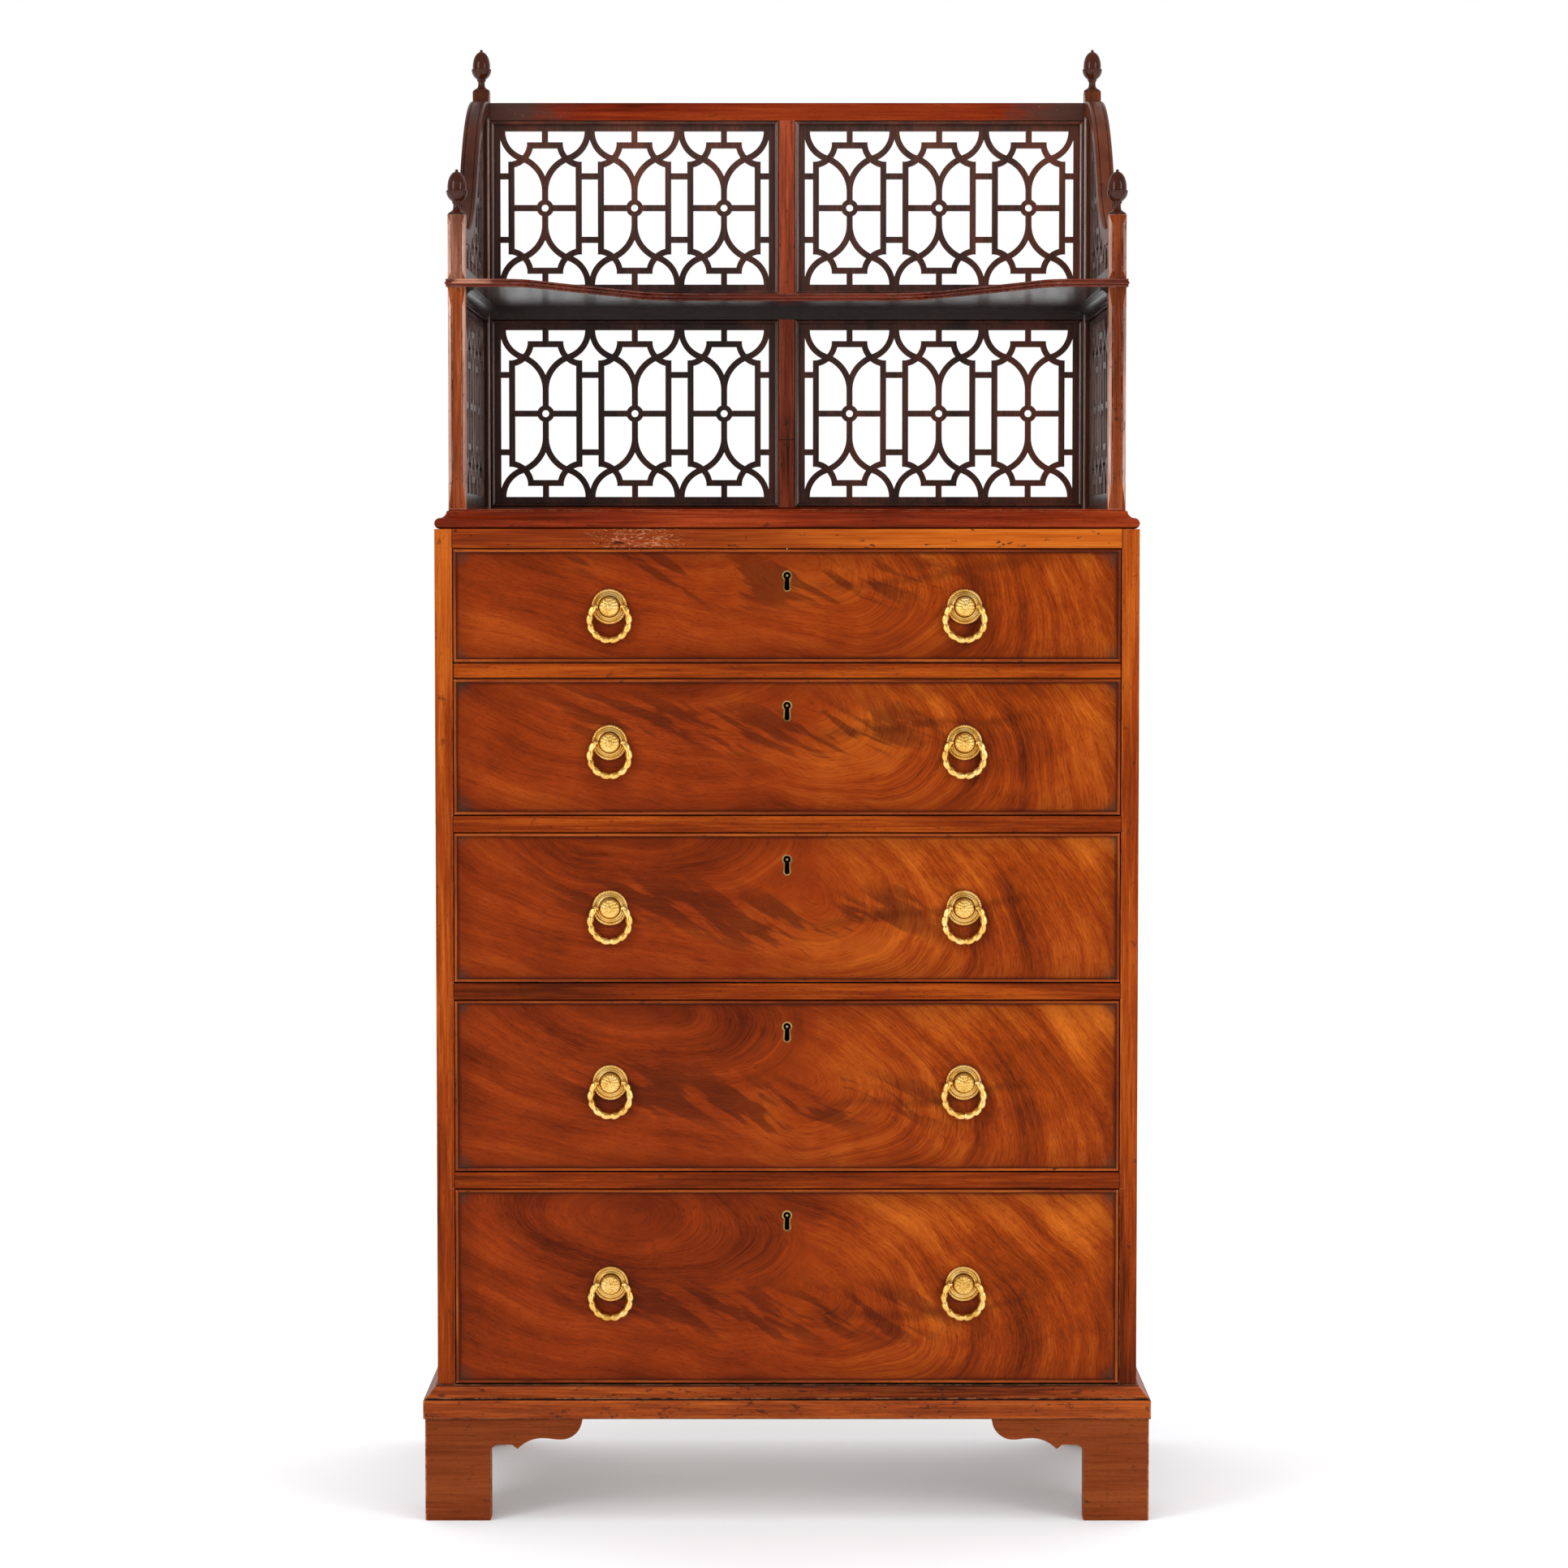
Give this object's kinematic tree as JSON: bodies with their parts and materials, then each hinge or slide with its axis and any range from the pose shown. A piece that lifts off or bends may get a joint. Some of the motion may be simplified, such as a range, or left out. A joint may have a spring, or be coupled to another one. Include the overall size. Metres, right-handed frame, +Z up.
{
  "type": "secretaire chest",
  "caption": "Tall mahogany secretaire chest: a drop-front writing drawer over long drawers on bracket feet, with a pierced fretwork gallery and serpentine shelf above.",
  "frame": {"origin": "on the floor, under the middle of the footprint", "axes": "+Z up, the front faces -Y, +X to the right as seen from the front"},
  "size_m": [0.792, 0.435, 1.6409],
  "materials": {
    "mahogany": "polished",
    "fret": "polished",
    "lining": "plain",
    "leather": "tooled",
    "brass": "lacquered"
  },
  "bodies": {
    "carcase": {"side_left": "mahogany", "side_right": "mahogany", "carcase_top": "lining", "carcase_bottom": "lining", "carcase_back": "lining", "front_rails": "mahogany", "dust_boards": "lining", "drawer_stops": "lining", "base_moulding": "mahogany", "foot_front_left": "mahogany", "foot_front_right": "mahogany", "foot_rear_left": "mahogany", "foot_rear_right": "mahogany", "gallery_base": "mahogany", "front_posts": "mahogany", "rear_posts": "mahogany", "finials": "mahogany", "back_rails": "mahogany", "back_fret_lower_left": "fret", "back_fret_lower_right": "fret", "back_fret_upper_left": "fret", "back_fret_upper_right": "fret", "end_rails": "mahogany", "end_frets_left": "fret", "end_frets_right": "fret", "shelf": "mahogany", "shelf_coves": "mahogany"},
    "secretaire": {"secretaire_case": "mahogany", "secretaire_floor": "mahogany", "writing_bed": "mahogany", "writing_leather": "leather", "fall_fittings": "brass", "pigeonholes": "mahogany"},
    "fall": {"fall_panel": "mahogany", "fall_leather": "leather", "fall_stays": "brass", "fall_brasses": "brass"},
    "fall_upper_ring_left": {"fall_upper_ring_left": "brass"},
    "fall_upper_ring_right": {"fall_upper_ring_right": "brass"},
    "fall_lower_ring_left": {"fall_lower_ring_left": "brass"},
    "fall_lower_ring_right": {"fall_lower_ring_right": "brass"},
    "upper_drawer": {"upper_drawer_front": "mahogany", "upper_drawer_box": "lining", "upper_drawer_brasses": "brass"},
    "upper_drawer_ring_left": {"upper_drawer_ring_left": "brass"},
    "upper_drawer_ring_right": {"upper_drawer_ring_right": "brass"},
    "middle_drawer": {"middle_drawer_front": "mahogany", "middle_drawer_box": "lining", "middle_drawer_brasses": "brass"},
    "middle_drawer_ring_left": {"middle_drawer_ring_left": "brass"},
    "middle_drawer_ring_right": {"middle_drawer_ring_right": "brass"},
    "lower_drawer": {"lower_drawer_front": "mahogany", "lower_drawer_box": "lining", "lower_drawer_brasses": "brass"},
    "lower_drawer_ring_left": {"lower_drawer_ring_left": "brass"},
    "lower_drawer_ring_right": {"lower_drawer_ring_right": "brass"},
    "letter_drawer_far_left": {"letter_drawer_far_left": "mahogany"},
    "letter_drawer_left": {"letter_drawer_left": "mahogany"},
    "letter_drawer_right": {"letter_drawer_right": "mahogany"},
    "letter_drawer_far_right": {"letter_drawer_far_right": "mahogany"}
  },
  "joints": [
    {"name": "secretaire_slide", "type": "slide", "parent": "carcase", "child": "secretaire", "axis": [0, -1, 0], "range_m": [0, 0.2]},
    {"name": "fall_hinge", "type": "hinge", "parent": "secretaire", "child": "fall", "pos_m": [0, -0.197, 0.7861], "axis": [1, 0, 0], "range_deg": [0, 90]},
    {"name": "fall_upper_ring_left_hinge", "type": "hinge", "parent": "fall", "child": "fall_upper_ring_left", "pos_m": [-0.192, -0.2105, 0.99535], "axis": [-1, 0, 0], "range_deg": [0, 120]},
    {"name": "fall_upper_ring_right_hinge", "type": "hinge", "parent": "fall", "child": "fall_upper_ring_right", "pos_m": [0.192, -0.2105, 0.99535], "axis": [-1, 0, 0], "range_deg": [0, 120]},
    {"name": "fall_lower_ring_left_hinge", "type": "hinge", "parent": "fall", "child": "fall_lower_ring_left", "pos_m": [-0.192, -0.2105, 0.84835], "axis": [-1, 0, 0], "range_deg": [0, 120]},
    {"name": "fall_lower_ring_right_hinge", "type": "hinge", "parent": "fall", "child": "fall_lower_ring_right", "pos_m": [0.192, -0.2105, 0.84835], "axis": [-1, 0, 0], "range_deg": [0, 120]},
    {"name": "upper_drawer_slide", "type": "slide", "parent": "carcase", "child": "upper_drawer", "axis": [0, -1, 0], "range_m": [0, 0.3]},
    {"name": "upper_drawer_ring_left_hinge", "type": "hinge", "parent": "upper_drawer", "child": "upper_drawer_ring_left", "pos_m": [-0.192, -0.2105, 0.66885], "axis": [-1, 0, 0], "range_deg": [0, 120]},
    {"name": "upper_drawer_ring_right_hinge", "type": "hinge", "parent": "upper_drawer", "child": "upper_drawer_ring_right", "pos_m": [0.192, -0.2105, 0.66885], "axis": [-1, 0, 0], "range_deg": [0, 120]},
    {"name": "middle_drawer_slide", "type": "slide", "parent": "carcase", "child": "middle_drawer", "axis": [0, -1, 0], "range_m": [0, 0.3]},
    {"name": "middle_drawer_ring_left_hinge", "type": "hinge", "parent": "middle_drawer", "child": "middle_drawer_ring_left", "pos_m": [-0.192, -0.2105, 0.4786], "axis": [-1, 0, 0], "range_deg": [0, 120]},
    {"name": "middle_drawer_ring_right_hinge", "type": "hinge", "parent": "middle_drawer", "child": "middle_drawer_ring_right", "pos_m": [0.192, -0.2105, 0.4786], "axis": [-1, 0, 0], "range_deg": [0, 120]},
    {"name": "lower_drawer_slide", "type": "slide", "parent": "carcase", "child": "lower_drawer", "axis": [0, -1, 0], "range_m": [0, 0.3]},
    {"name": "lower_drawer_ring_left_hinge", "type": "hinge", "parent": "lower_drawer", "child": "lower_drawer_ring_left", "pos_m": [-0.192, -0.2105, 0.2581], "axis": [-1, 0, 0], "range_deg": [0, 120]},
    {"name": "lower_drawer_ring_right_hinge", "type": "hinge", "parent": "lower_drawer", "child": "lower_drawer_ring_right", "pos_m": [0.192, -0.2105, 0.2581], "axis": [-1, 0, 0], "range_deg": [0, 120]},
    {"name": "letter_drawer_far_left_slide", "type": "slide", "parent": "secretaire", "child": "letter_drawer_far_left", "axis": [0, -1, 0], "range_m": [0, 0.14]},
    {"name": "letter_drawer_left_slide", "type": "slide", "parent": "secretaire", "child": "letter_drawer_left", "axis": [0, -1, 0], "range_m": [0, 0.14]},
    {"name": "letter_drawer_right_slide", "type": "slide", "parent": "secretaire", "child": "letter_drawer_right", "axis": [0, -1, 0], "range_m": [0, 0.14]},
    {"name": "letter_drawer_far_right_slide", "type": "slide", "parent": "secretaire", "child": "letter_drawer_far_right", "axis": [0, -1, 0], "range_m": [0, 0.14]}
  ]
}
